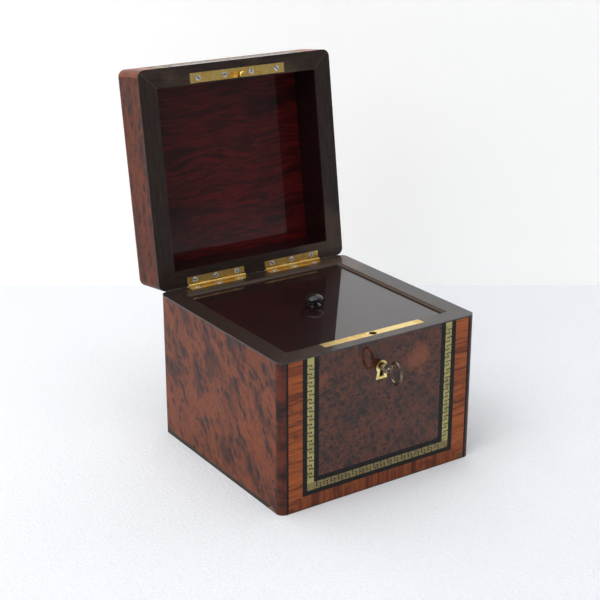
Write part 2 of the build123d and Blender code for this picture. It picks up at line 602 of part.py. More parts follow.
def make_key(parts):
    """Pipe key, bit downward, pushed home over the drill pin."""
    parts["drill_pin"] = rod((0, OPEN_FRONT_Y, KEY_Z), (0, DRILL_PIN_TIP_Y, KEY_Z), DRILL_PIN_RADIUS)
    axis = Plane(origin=(0, BARREL_TIP_Y, KEY_Z), x_dir=(1, 0, 0), z_dir=(0, -1, 0))
    shank = turned(KEY_SHANK, axis)
    shank -= rod((0, BARREL_TIP_Y + 1, KEY_Z), (0, DRILL_PIN_TIP_Y - 1.5, KEY_Z),
                 DRILL_PIN_RADIUS + PIN_RUNNING_FIT)
    bit = block((-BIT_THICKNESS / 2, BIT_FRONT_Y, KEY_Z - BIT_REACH),
                (BIT_THICKNESS / 2, BIT_BACK_Y, KEY_Z - BARREL_RADIUS + 0.4))
    bit -= block((-BIT_THICKNESS, BIT_NOTCH_FRONT_Y, KEY_Z - BIT_REACH - 1),
                 (BIT_THICKNESS, BIT_NOTCH_BACK_Y, KEY_Z - BIT_REACH + BIT_NOTCH_DEPTH))
    bow_plane = Plane(origin=(0, BOW_CENTRE_Y, KEY_Z), x_dir=(0, 1, 0), z_dir=(1, 0, 0))
    outer = extrude(Ellipse(*BOW_OUTER), BOW_THICKNESS / 2, both=True)
    hole = extrude(Ellipse(*BOW_HOLE), BOW_THICKNESS, both=True)
    bow = outer - hole
    bow = fillet(bow.edges(), BOW_ROUNDING)
    parts["key"] = shank + bit + bow_plane * bow


def make_escutcheon(parts):
    blank = escutcheon_blank(-HALF_D, -HALF_D + ESCUTCHEON_DEPTH)
    parts["escutcheon"] = blank - keyhole(-HALF_D - 1, -HALF_D + ESCUTCHEON_DEPTH + 1)


# ---- hinges ------------------------------------------------------------------------------
def knuckle_spans(centre, owner):
    """X spans of the knuckles that belong to the body leaf or to the lid leaf."""
    pitch = HINGE_LENGTH / KNUCKLES
    start = centre - HINGE_LENGTH / 2
    first = 0 if owner == "body" else 1
    spans = []
    for index in range(first, KNUCKLES, 2):
        low = start + index * pitch + (KNUCKLE_GAP / 2 if index > 0 else 0)
        high = start + (index + 1) * pitch - (KNUCKLE_GAP / 2 if index < KNUCKLES - 1 else 0)
        spans.append((low, high))
    return spans


def hinge_leaf(centre, owner):
    """One brass butt leaf, let in flush, with its share of the knuckles."""
    half = HINGE_LENGTH / 2
    if owner == "body":
        low_z, high_z = BODY_HEIGHT - LEAF_THICKNESS, BODY_HEIGHT
        other, bore = "lid", HINGE_PIN_RADIUS
    else:
        low_z, high_z = LID_Z, LID_Z + LEAF_THICKNESS
        other, bore = "body", HINGE_PIN_RADIUS + HINGE_RUNNING_FIT
    leaf = block((centre - half, LEAF_FRONT_Y, low_z), (centre + half, HINGE_Y, high_z))
    for low, high in knuckle_spans(centre, other):
        leaf -= block((low - KNUCKLE_GAP, HINGE_Y - KNUCKLE_RADIUS - KNUCKLE_CLEARANCE, low_z - 1),
                      (high + KNUCKLE_GAP, HINGE_Y + 1, high_z + 1))
    for low, high in knuckle_spans(centre, owner):
        leaf += rod((low, HINGE_Y, HINGE_Z), (high, HINGE_Y, HINGE_Z), KNUCKLE_RADIUS)
    leaf -= rod((centre - half - 1, HINGE_Y, HINGE_Z), (centre + half + 1, HINGE_Y, HINGE_Z), bore)
    holes = body_screw_holes() if owner == "body" else lid_screw_holes("hinge")
    return without(leaf, holes)


def make_hinges(parts):
    pins = []
    for name, sign in (("left", -1), ("right", 1)):
        centre = sign * HINGE_CENTRE_X
        parts[f"{name}_hinge_body_leaf"] = hinge_leaf(centre, "body")
        parts[f"{name}_hinge_lid_leaf"] = open_lid(hinge_leaf(centre, "lid"))
        half = HINGE_LENGTH / 2
        pins.append(rod((centre - half, HINGE_Y, HINGE_Z), (centre + half, HINGE_Y, HINGE_Z),
                        HINGE_PIN_RADIUS))
    parts["hinge_pins"] = group(pins)
    parts["body_hinge_screws"] = group(body_screws())
    parts["lid_hinge_screws"] = open_lid(group(lid_screws("hinge")))


# ---- lid ---------------------------------------------------------------------------------
def strike_blank():
    return block((-STRIKE_HALF, STRIKE_FRONT_Y, LID_Z),
                 (STRIKE_HALF, STRIKE_BACK_Y, LID_Z + PLATE_THICKNESS))


def lid_wall_cuts(side):
    """What is cut out of a lid wall, its rim facing and its veneer for the fittings."""
    if side == "back":
        return hinge_cut(LID_Z, LID_Z + LEAF_THICKNESS) + lid_screw_holes("hinge")
    if side == "front":
        return [strike_blank()] + lid_screw_holes("strike")
    return []


def make_lid_boards(parts):
    inner_x = OPEN_X + LID_LINING
    inner_front = OPEN_FRONT_Y - LID_LINING
    inner_back = OPEN_BACK_Y + LID_LINING
    for side in ("front", "back", "left", "right"):
        wall = carcass_wall(side, inner_x, inner_front, inner_back, LID_WALL_Z, LID_BOARD_Z)
        parts[f"lid_{side}_board"] = open_lid(without(wall, lid_wall_cuts(side)))
        facing = without(rim_facing(side, LID_Z), lid_wall_cuts(side))
        parts.setdefault("lid_rim_facing", []).append(facing)
    parts["lid_rim_facing"] = open_lid(group(parts["lid_rim_facing"]))
    top = rounded_block(VENEER, LID_BOARD_Z, TOP_VENEER_Z)
    parts["lid_top_board"] = open_lid(top - lid_edge_ring(0.0))

    lining = block((-inner_x, inner_front, LID_RECESS_Z), (inner_x, inner_back, LID_BOARD_Z))
    parts["lid_lining_panel"] = open_lid(lining)
    strips = [block((-inner_x, inner_front, LID_WALL_Z), (inner_x, OPEN_FRONT_Y, LID_RECESS_Z)),
              block((-inner_x, OPEN_BACK_Y, LID_WALL_Z), (inner_x, inner_back, LID_RECESS_Z))]
    for sign in (-1, 1):
        low_x, high_x = sorted((sign * OPEN_X, sign * inner_x))
        strips.append(block((low_x, OPEN_FRONT_Y, LID_WALL_Z), (high_x, OPEN_BACK_Y, LID_RECESS_Z)))
    parts["lid_lining_strips"] = open_lid(group(strips))


def lid_edge_ring(rounding):
    """The lipping round the lid's upper edge, as one ring."""
    low_z = LID_TOP_Z - LID_EDGE_HEIGHT
    ring = rounded_block(0, low_z, LID_TOP_Z)
    if rounding > 0:
        ring = fillet(ring.faces().sort_by(Axis.Z)[-1].edges(), rounding)
    core_y = HALF_D - EDGE_STRIP
    core = block((-BAND_X[0], -core_y, low_z - 1), (BAND_X[0], core_y, LID_TOP_Z + 1))
    return ring - core


def make_lid_edges(parts):
    """Rounded lipping: four mitred runs round the top and one up each front corner."""
    ring = lid_edge_ring(LID_EDGE_ROUNDING)
    low_z = LID_TOP_Z - LID_EDGE_HEIGHT
    far_x, far_y = HALF_W + 5, HALF_D + 5
    near_x, near_y = BAND_X[0], HALF_D - EDGE_STRIP
    runs = []
    for points in square_band(far_x, near_x - 20, far_y, near_y - 20):
        runs.append(ring & column(points, low_z, LID_TOP_Z))
    uprights = corner_strips(LID_WALL_Z, low_z)
    parts["lid_edge_strips"] = open_lid(group(runs + uprights))


def make_lid_skins(parts):
    low_z = LID_TOP_Z - LID_EDGE_HEIGHT
    for side in ("left", "right", "back"):
        sheet = veneer_sheet(side, LID_WALL_Z, low_z)
        parts[f"lid_{side}_burl_veneer"] = open_lid(without(sheet, lid_wall_cuts(side)))


def make_lid_marquetry(parts):
    """The front frame closes across the lid, and the same frame runs round the top."""
    heights = [LID_BAND_TOP_Z]
    for band_width in (FOOT_CROSSBAND - LID_EDGE_HEIGHT, FOOT_OUTER_EBONY, KEY_WIDTH, FOOT_INNER_EBONY):
        heights.append(heights[-1] - band_width)
    depths = [HALF_D - HALF_W + x for x in BAND_X]

    front_panel = plate([(-BAND_X[5], LID_WALL_Z), (BAND_X[5], LID_WALL_Z), (BAND_X[5], heights[4]),
                         (-BAND_X[5], heights[4])], FRONT_FACE, VENEER)
    top_panel = plate([(-BAND_X[5], -depths[5]), (BAND_X[5], -depths[5]), (BAND_X[5], depths[5]),
                       (-BAND_X[5], depths[5])], TOP_FACE, VENEER)
    parts["lid_front_burl_panel"] = open_lid(front_panel)
    parts["lid_top_burl_panel"] = open_lid(top_panel)

    front_ebony = u_band(BAND_X[4], BAND_X[5], heights[3], heights[4], LID_WALL_Z)
    front_ebony += u_band(BAND_X[2], BAND_X[3], heights[1], heights[2], LID_WALL_Z)
    for sign in (-1, 1):
        front_ebony.append([(sign * BAND_X[0], LID_WALL_Z), (sign * BAND_X[1], LID_WALL_Z),
                            (sign * BAND_X[1], heights[0]), (sign * BAND_X[0], heights[0])])
    top_ebony = square_band(BAND_X[0], BAND_X[1], depths[0], depths[1])
    top_ebony += square_band(BAND_X[2], BAND_X[3], depths[2], depths[3])
    top_ebony += square_band(BAND_X[4], BAND_X[5], depths[4], depths[5])
    ebony = [plate(run, FRONT_FACE, VENEER) for run in front_ebony]
    ebony += [plate(run, TOP_FACE, VENEER) for run in top_ebony]
    parts["lid_ebony_bands"] = open_lid(group(ebony))

    front_bed = u_band(BAND_X[3], BAND_X[4], heights[2], heights[3], LID_WALL_Z)
    top_bed = square_band(BAND_X[3], BAND_X[4], depths[3], depths[4])
    bed = [plate(run, FRONT_FACE, VENEER - KEY_BRASS) for run in front_bed]
    bed += [plate(run, TOP_FACE, VENEER - KEY_BRASS) for run in top_bed]
    parts["lid_key_bed"] = open_lid(group(bed))

    brass = front_key_strips(heights[3], LID_WALL_Z)
    x, y = BAND_X[4], depths[4]
    for sign in (-1, 1):
        brass.append(key_strip((-x, sign * y), (1, 0), (0, sign), 2 * x, True, True, TOP_BRASS))
        brass.append(key_strip((sign * x, -y), (0, 1), (sign, 0), 2 * y, True, True, TOP_BRASS))
    parts["lid_key_inlay"] = open_lid(group(brass))

    front_band = u_band(BAND_X[1], BAND_X[2], heights[0], heights[1], LID_WALL_Z)
    top_band = square_band(BAND_X[1], BAND_X[2], depths[1], depths[2])
    kingwood = [plate(run, FRONT_FACE, VENEER) for run in front_band]
    kingwood += [plate(run, TOP_FACE, VENEER) for run in top_band]
    parts["lid_crossband"] = open_lid(group(kingwood))


def make_strike(parts):
    """Strike plate with the pierced stud that the bolt's nose passes through."""
    height = STUD_LENGTH + 0.1
    profile = [(0, 0), (1.5, 0), (STUD_RADIUS, 0.6), (STUD_RADIUS, height), (0, height)]
    stud = turned(profile, up_plane(0, LOCK_Y, LID_Z - STUD_LENGTH))
    stud -= rod((-3, LOCK_Y, NOSE_Z), (3, LOCK_Y, NOSE_Z), STUD_EYE_RADIUS)
    strike = without(strike_blank() + stud, lid_screw_holes("strike"))
    parts["strike_plate"] = open_lid(strike)
    parts["strike_screws"] = open_lid(group(lid_screws("strike")))


def main():
    parts = {}
    make_body_boards(parts)
    make_body_skins(parts)
    make_front_marquetry(parts)
    make_compartment(parts)
    make_inner_lid(parts)
    make_lock(parts)
    make_bolt(parts)
    make_key(parts)
    make_escutcheon(parts)
    make_hinges(parts)
    make_lid_boards(parts)
    make_lid_edges(parts)
    make_lid_skins(parts)
    make_lid_marquetry(parts)
    make_strike(parts)
    os.makedirs("parts", exist_ok=True)
    for name, shape in parts.items():
        export_step(shape, f"parts/{name}.step")


if __name__ == "__main__":
    main()
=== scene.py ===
import json
from math import cos, pi, radians, sin

import bmesh
import bpy
from mathutils import Matrix, Vector


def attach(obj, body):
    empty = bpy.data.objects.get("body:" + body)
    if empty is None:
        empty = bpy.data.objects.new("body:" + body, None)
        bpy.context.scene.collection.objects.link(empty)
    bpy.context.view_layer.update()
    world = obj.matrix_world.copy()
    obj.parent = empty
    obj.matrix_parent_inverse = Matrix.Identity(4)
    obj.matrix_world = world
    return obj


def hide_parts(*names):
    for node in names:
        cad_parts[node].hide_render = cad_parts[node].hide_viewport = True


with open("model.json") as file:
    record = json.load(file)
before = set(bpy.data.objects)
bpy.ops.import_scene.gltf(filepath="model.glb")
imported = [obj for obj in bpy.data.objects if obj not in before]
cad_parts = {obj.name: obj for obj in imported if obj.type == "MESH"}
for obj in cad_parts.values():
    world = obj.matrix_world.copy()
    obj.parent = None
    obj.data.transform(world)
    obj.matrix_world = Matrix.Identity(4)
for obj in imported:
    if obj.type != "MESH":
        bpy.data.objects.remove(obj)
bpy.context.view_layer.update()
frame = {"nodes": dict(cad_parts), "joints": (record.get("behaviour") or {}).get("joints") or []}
nodes = frame["nodes"]
MM = 0.001

# The lid is modelled standing open. Its finishes are laid out as if it were shut, so
# that grain and inlay run on from the body to the lid.
LID_JOINT = next(joint for joint in frame["joints"] if joint["name"] == "lid_hinge")
LID_ANGLE = radians(LID_JOINT["range_deg"][1])
HINGE = Vector(LID_JOINT["pos_m"]) * 1000

# Sizes in millimetres, from the middle of the underside. The lid's are those of the shut lid.
HALF_D = 73.5
BODY_TOP, LID_RIM, LID_TOP = 101.0, 101.5, 132.0
RIM_FACING = 1.0
SHUT_LINE = (BODY_TOP + LID_RIM) / 2
OPENING_X = 62.0              # half width of the opening
OPENING_LOW = 93.0            # below this the opening's walls are the compartment's
DEPTH_STEP = 1.5              # the top's bands lie this much further in, front to back
MITRE_BACK_Y = 60.0           # behind this the rims' mitres don't show
CORNER_JOINT_Y = 69.1         # where the side veneer meets the corner strip, towards the front

# The inlaid frame: half widths, then heights on the body's front and on the lid's.
KINGWOOD_OUT, KINGWOOD_IN = 69.0, 58.8
KINGWOOD_TOP = 9.0
KEY_OUT, KEY_IN = 55.4, 50.5
KEY_LOW, KEY_HIGH = 12.0, 16.9
LID_KINGWOOD_TOP, LID_KINGWOOD_LOW = 128.8, 123.0
LID_KEY_HIGH, LID_KEY_LOW = 120.0, 115.1
LID_TOP_FACE = 130.5          # above this a point of the lid's frame is on its top


def srgb(red, green, blue):
    """A colour given as 0 to 255, as the shader wants it."""
    def linear(value):
        value /= 255
        return value / 12.92 if value <= 0.04045 else ((value + 0.055) / 1.055) ** 2.4
    return (linear(red), linear(green), linear(blue), 1.0)


class Finish:
    """One material. Each method adds one node and gives back its output."""

    def __init__(self, name, on_lid=False, **values):
        self.material = bpy.data.materials.new(name)
        self.material.use_nodes = True
        self.tree = self.material.node_tree
        self.shader = self.tree.nodes["Principled BSDF"]
        for socket, value in values.items():
            self.shader.inputs[socket.replace("_", " ")].default_value = value
        to_mm = self.node("ShaderNodeMapping", Vector=self.node("ShaderNodeTexCoord").outputs["Object"])
        to_mm.inputs["Scale"].default_value = (1000, 1000, 1000)
        if on_lid:
            turn = Matrix.Rotation(LID_ANGLE, 3, "X")
            to_mm.inputs["Rotation"].default_value = (LID_ANGLE, 0, 0)
            to_mm.inputs["Location"].default_value = HINGE - turn @ HINGE
        self.place = to_mm.outputs["Vector"]

    def node(self, kind, settings=None, **inputs):
        made = self.tree.nodes.new(kind)
        for name, value in (settings or {}).items():
            setattr(made, name, value)
        for name, value in inputs.items():
            self.feed(made.inputs[name.replace("_", " ")], value)
        return made

    def feed(self, socket, value):
        if isinstance(value, bpy.types.NodeSocket):
            self.tree.links.new(value, socket)
        else:
            socket.default_value = value

    def set(self, socket, value):
        self.feed(self.shader.inputs[socket], value)

    def math(self, operation, first, second=0.0, third=0.0):
        made = self.node("ShaderNodeMath", {"operation": operation})
        for socket, value in zip(made.inputs, (first, second, third)):
            self.feed(socket, value)
        return made.outputs[0]

    def axes(self, vector=None):
        split = self.node("ShaderNodeSeparateXYZ", Vector=self.place if vector is None else vector)
        return split.outputs[0], split.outputs[1], split.outputs[2]

    def stretch(self, vector, scale, turn=(0, 0, 0)):
        """Turn, then make the pattern longer along each axis by that scale."""
        made = self.node("ShaderNodeMapping", {"vector_type": "TEXTURE"}, Vector=vector)
        made.inputs["Scale"].default_value = scale
        made.inputs["Rotation"].default_value = turn
        return made.outputs["Vector"]

    def noise(self, vector, size, detail=3.0, roughness=0.5, colour=False):
        """Noise whose blobs are about that many millimetres across."""
        made = self.node("ShaderNodeTexNoise", Vector=vector, Scale=1.0 / size, Detail=detail,
                         Roughness=roughness)
        return made.outputs["Color" if colour else "Fac"]

    def cells(self, vector, size, spread=1.0):
        """Voronoi cells of that size: distance from the middle, and a random number each."""
        made = self.node("ShaderNodeTexVoronoi", Vector=vector, Scale=1.0 / size, Randomness=spread)
        lot = self.node("ShaderNodeSeparateColor", Color=made.outputs["Color"])
        return made.outputs["Distance"], lot.outputs[0]

    def warp(self, vector, size, amount):
        """Push the pattern about by that many millimetres."""
        shove = self.node("ShaderNodeVectorMath", {"operation": "MULTIPLY_ADD"})
        self.feed(shove.inputs[0], self.noise(vector, size, 2.0, colour=True))
        shove.inputs[1].default_value = (amount * 2, amount * 2, amount * 2)
        self.feed(shove.inputs[2], vector)
        return shove.outputs[0]

    def step(self, value, low, high, out_low=0.0, out_high=1.0):
        """A soft step from low to high; it falls where low is the larger."""
        if low > high:
            low, high, out_low, out_high = high, low, out_high, out_low
        made = self.node("ShaderNodeMapRange", {"interpolation_type": "SMOOTHSTEP"}, Value=value)
        for socket, number in zip(list(made.inputs)[1:5], (low, high, out_low, out_high)):
            socket.default_value = number
        return made.outputs[0]

    def ramp(self, value, *stops):
        made = self.node("ShaderNodeValToRGB", Fac=value)
        bar = made.color_ramp
        while len(bar.elements) < len(stops):
            bar.elements.new(0.5)
        for element, (position, colour) in zip(bar.elements, stops):
            element.position = position
            element.color = colour
        return made.outputs["Color"]

    def mix(self, factor, first, second, blend="MIX"):
        made = self.node("ShaderNodeMix", {"data_type": "RGBA", "blend_type": blend}, Factor=factor)
        self.feed(made.inputs[6], first)
        self.feed(made.inputs[7], second)
        return made.outputs[2]

    def blend_vectors(self, factor, first, second):
        made = self.node("ShaderNodeMix", {"data_type": "VECTOR"}, Factor=factor)
        self.feed(made.inputs[4], first)
        self.feed(made.inputs[5], second)
        return made.outputs[1]

    def bump(self, height, depth, coat=False):
        """Relief of that depth in millimetres, under the polish or in the polish itself."""
        made = self.node("ShaderNodeBump", Height=height, Distance=depth * MM)
        made.inputs["Strength"].default_value = 1.0
        self.set("Coat Normal" if coat else "Normal", made.outputs["Normal"])


def paint(finish, *names):
    """Give CAD nodes this finish."""
    for name in names:
        for index in range(len(nodes[name].material_slots)):
            nodes[name].material_slots[index].material = finish.material


# ---- wood ------------------------------------------------------------------------------
POLISH = dict(Coat_Roughness=0.05, Coat_IOR=1.5, Roughness=0.5, Specular_IOR_Level=0.1)
CHIP_Y = 64.0                 # how far in front of the middle the chip in the side's foot is
ORANGE_PATCHES = ((40.0, 92.0, 12.0, 0.55), (-33.0, 94.0, 5.0, 0.4))    # x, z, reach, strength


def burl_colour(f, lean, drawn, pale, middle, dark, eye_sizes, shade):
    """Burl figure: curling fibres, and clusters of soft dark eyes that may be drawn out."""
    figure = f.stretch(f.warp(f.place, 18.0, 4.0), (1.0, 1.0, drawn), (-radians(lean), 0, 0))
    curls = f.noise(f.warp(figure, 7.0, 7.0), 6.0, 6.0, 0.64)
    base = f.ramp(curls, (0.34, middle), (0.48, pale), (0.56, middle), (0.66, pale))
    cluster = f.noise(figure, 17.0, 3.0, 0.55)
    base = f.mix(f.step(cluster, 0.46, 0.72, 0.0, shade), base, dark)
    ragged = f.warp(f.warp(figure, 5.0, 1.8), 1.4, 0.7)
    for size, chance, depth in eye_sizes:
        distance, lot = f.cells(ragged, size)
        wide = f.math("MULTIPLY_ADD", lot, 0.25, distance)
        likely = f.math("MULTIPLY_ADD", cluster, 1.5, f.math("MULTIPLY", lot, -0.5))
        eye = f.math("MULTIPLY", f.step(wide, 0.58, 0.18), f.step(likely, chance, chance + 0.12))
        base = f.mix(f.math("MULTIPLY", eye, depth), base, dark)
    fibre = f.noise(f.stretch(f.warp(figure, 6.0, 4.0), (1.0, 1.0, 4.0)), 0.8, 4.0, 0.6)
    base = f.mix(0.42, base, f.mix(fibre, srgb(45, 45, 45), srgb(210, 210, 210)), "OVERLAY")
    f.bump(fibre, 0.02)
    return base


def worn_side(f, colour):
    """The body's sides: a rubbed lower edge, a chip near the front, and the corner strip's joint."""
    across, deep, height = f.axes()
    rubbed = f.math("ADD", height, f.math("MULTIPLY", f.noise(f.place, 6.0, 4.0), 3.0))
    back_end = f.step(deep, 64.0, 70.0)
    outside = f.step(f.math("ABSOLUTE", across), 68.0, 73.0, 0.0, 2.0)
    rubbed = f.math("SUBTRACT", rubbed, f.math("MULTIPLY", back_end, outside))
    colour = f.mix(f.step(rubbed, 4.7, 3.9), colour, srgb(44, 42, 36))
    from_chip = f.math("ABSOLUTE", f.math("ADD", deep, CHIP_Y))
    chip = f.math("ADD", f.math("MULTIPLY", from_chip, 0.5), rubbed)
    colour = f.mix(f.step(chip, 4.6, 4.2, 0.0, 0.8), colour, srgb(120, 92, 62))
    joint = f.step(f.math("ABSOLUTE", f.math("ADD", deep, CORNER_JOINT_Y)), 0.3, 0.12)
    return f.mix(joint, colour, srgb(22, 14, 14))


def side_burl(name, on_lid, lean, drawn, pale, middle):
    """Red-brown burl with dark spots drawn out along a lean, in degrees."""
    f = Finish(name, on_lid, Coat_Weight=0.1 if on_lid else 0.22, **POLISH)
    eyes = ((7.0, 0.47, 0.8), (4.4, 0.45, 0.85), (2.4, 0.48, 0.7))
    colour = burl_colour(f, lean, drawn, pale, middle, srgb(30, 18, 21), eyes, 0.72)
    if not on_lid:
        colour = worn_side(f, colour)
    f.set("Base Color", colour)
    f.bump(f.noise(f.place, 22.0, 1.0), 0.05, coat=True)
    return f


def front_burl(name, on_lid):
    """Dark burl full of small eyes, with two ragged orange patches near the rim."""
    f = Finish(name, on_lid, Coat_Weight=0.65, **POLISH)
    f.shader.inputs["Coat Roughness"].default_value = 0.03
    eyes = ((6.0, 0.22, 0.8), (4.0, 0.16, 0.9), (2.6, 0.26, 0.85))
    colour = burl_colour(f, 0, 1.0, srgb(108, 52, 26), srgb(68, 30, 18), srgb(14, 7, 9), eyes, 0.5)
    across, _, height = f.axes(f.warp(f.warp(f.place, 12.0, 7.0), 2.5, 3.0))
    for centre_x, centre_z, reach, strength in ORANGE_PATCHES:
        far = f.math("ADD", f.math("POWER", f.math("SUBTRACT", across, centre_x), 2.0),
                     f.math("POWER", f.math("SUBTRACT", height, centre_z), 2.0))
        ragged = f.math("MULTIPLY", f.noise(f.warp(f.place, 5.0, 3.0), 3.5, 5.0, 0.65), reach * 1.4)
        far = f.math("ADD", f.math("SQRT", far), ragged)
        patch = f.step(far, reach * 1.7, reach * 1.2, 0.0, strength)
        colour = f.mix(patch, colour, srgb(146, 74, 42))
    f.set("Base Color", colour)
    f.bump(f.noise(f.place, 26.0, 1.0), 0.05, coat=True)
    return f


def kingwood(name, on_lid):
    """Crossbanding: its stripes run across the band, and turn at the mitres."""
    f = Finish(name, on_lid, Coat_Weight=0.25, **POLISH)
    across, deep, height = f.axes()
    across = f.math("ABSOLUTE", across)
    wobble = f.warp(f.place, 12.0, 1.2)
    rising = f.stretch(wobble, (26.0, 26.0, 1.0))       # stripes along X, for the uprights
    lying = f.stretch(wobble, (1.0, 26.0, 26.0))        # stripes up the foot run
    if on_lid:
        from_end, run = f.math("SUBTRACT", LID_KINGWOOD_TOP, height), LID_KINGWOOD_TOP - LID_KINGWOOD_LOW
    else:
        from_end, run = height, KINGWOOD_TOP
    slope = run / (KINGWOOD_OUT - KINGWOOD_IN)
    from_side = f.math("MULTIPLY", f.math("SUBTRACT", KINGWOOD_OUT, across), slope)
    upright = f.math("GREATER_THAN", from_end, from_side)
    vector = f.blend_vectors(upright, lying, rising)
    if on_lid:
        going_back = f.stretch(wobble, (26.0, 1.0, 26.0))
        lateral = f.math("GREATER_THAN", across, f.math("ADD", f.math("ABSOLUTE", deep), DEPTH_STEP))
        top = f.blend_vectors(lateral, lying, going_back)
        vector = f.blend_vectors(f.math("GREATER_THAN", height, LID_TOP_FACE), vector, top)
    broad = f.noise(vector, 6.0, 3.0)
    lines = f.noise(vector, 0.8, 4.0, 0.65)
    colour = f.ramp(broad, (0.34, srgb(108, 46, 24)), (0.52, srgb(174, 90, 40)), (0.66, srgb(130, 60, 30)))
    colour = f.mix(f.step(lines, 0.52, 0.64, 0.0, 0.75), colour, srgb(60, 26, 16))
    colour = f.mix(f.step(f.noise(vector, 0.4, 2.0), 0.52, 0.68, 0.0, 0.45), colour, srgb(80, 38, 22))
    gnarl = f.step(f.noise(f.place, 12.0, 4.0, 0.6), 0.56, 0.68, 0.0, 0.55)
    colour = f.mix(gnarl, colour, srgb(72, 34, 24))
    colour = f.mix(f.math("MULTIPLY", f.math("SUBTRACT", 1.0, upright), 0.35), colour, srgb(66, 28, 20))
    if not on_lid:
        # darker along the foot of the front: painted contact shadow, with wear; the paler patch low at the
        # right end is wear
        uneven = f.math("ADD", height, f.math("MULTIPLY", f.noise(f.place, 5.0, 3.0), 2.0))
        colour = f.mix(f.step(uneven, 2.3, 1.4, 0.0, 0.8), colour, srgb(60, 50, 38))
        faded = f.step(f.math("SUBTRACT", across, uneven), 60.5, 63.0, 0.0, 0.7)
        faded = f.math("MULTIPLY", faded, f.math("GREATER_THAN", f.axes()[0], 0.0))
        faded = f.math("MULTIPLY", faded, f.step(height, 6.5, 4.5))
        colour = f.mix(faded, colour, srgb(84, 74, 46))
    f.set("Base Color", colour)
    f.bump(lines, 0.02)
    return f


STRIP_SEAM_Z = 12.0           # a joint in the length of the corner strips


def edge_wood(name, on_lid):
    """Solid strips on the corners: dark red-brown, banded along their height."""
    f = Finish(name, on_lid, Coat_Weight=0.25, **POLISH)
    _, _, height = f.axes()
    blocks = f.noise(f.stretch(f.place, (3.0, 3.0, 1.0)), 11.0, 2.0)
    fibre = f.noise(f.stretch(f.warp(f.place, 9.0, 1.0), (1.0, 1.0, 9.0)), 1.2, 4.0)
    colour = f.ramp(blocks, (0.36, srgb(46, 24, 18)), (0.52, srgb(98, 44, 28)), (0.68, srgb(62, 29, 20)))
    if on_lid:
        colour = f.mix(0.6, colour, srgb(136, 68, 36))
    colour = f.mix(f.step(fibre, 0.5, 0.66, 0.0, 0.5), colour, srgb(34, 20, 18))
    if not on_lid:
        seam = f.math("ABSOLUTE", f.math("SUBTRACT", height, STRIP_SEAM_Z))
        colour = f.mix(f.step(seam, 0.28, 0.14), colour, srgb(26, 16, 14))
    f.set("Base Color", colour)
    f.bump(fibre, 0.02)
    return f


def rim_wood(name, on_lid):
    """Ebonised facing of the rims: worn brown in places, with thin pale mitres."""
    f = Finish(name, on_lid, Coat_Weight=0.3 if on_lid else 0.7, Coat_Roughness=0.14, Roughness=0.5,
               Specular_IOR_Level=0.2)
    across, deep, height = f.axes()
    across = f.math("ABSOLUTE", across)
    side = f.math("SUBTRACT", f.math("SUBTRACT", across, f.math("ABSOLUTE", deep)), DEPTH_STEP)
    lateral = f.math("GREATER_THAN", side, 0.0)
    wobble = f.warp(f.place, 10.0, 0.6)
    along_x = f.stretch(wobble, (16.0, 1.0, 1.0))
    along_y = f.stretch(wobble, (1.0, 16.0, 1.0))
    vector = f.blend_vectors(lateral, along_x, along_y)
    fibre = f.noise(vector, 0.9, 4.0, 0.6)
    colour = f.ramp(fibre, (0.35, srgb(29, 20, 17)), (0.6, srgb(46, 33, 27)), (0.8, srgb(62, 46, 36)))
    uneven = f.noise(f.stretch(f.place, (3.0, 3.0, 1.0)), 14.0, 3.0)
    colour = f.mix(f.step(uneven, 0.54, 0.72, 0.0, 0.5), colour, srgb(86, 66, 52))
    mitre = f.step(f.math("ABSOLUTE", side), 0.22, 0.1, 0.0, 0.7)
    front = f.math("LESS_THAN", deep, MITRE_BACK_Y)
    colour = f.mix(f.math("MULTIPLY", mitre, front), colour, srgb(112, 96, 82))
    if not on_lid:
        inward = f.step(across, OPENING_X + 0.6, OPENING_X + 0.4)
        forward = f.step(f.math("ABSOLUTE", deep), OPENING_X + 0.4, OPENING_X + 0.2)
        below = f.step(height, BODY_TOP - 0.02, BODY_TOP - 0.1)
        wall = f.math("MULTIPLY", f.math("MULTIPLY", inward, forward), below)
        colour = f.mix(wall, colour, srgb(112, 98, 88))
    f.set("Base Color", colour)
    f.bump(fibre, 0.03)
    return f


def ebony(name, on_lid):
    """Near-black wood of the bands and the stringing."""
    f = Finish(name, on_lid, Coat_Weight=0.2, **POLISH)
    fibre = f.noise(f.stretch(f.place, (6.0, 6.0, 1.0)), 0.8, 3.0)
    colour = f.ramp(fibre, (0.35, srgb(10, 10, 11)), (0.7, srgb(28, 26, 24)))
    f.set("Base Color", colour)
    f.bump(fibre, 0.015)
    return f


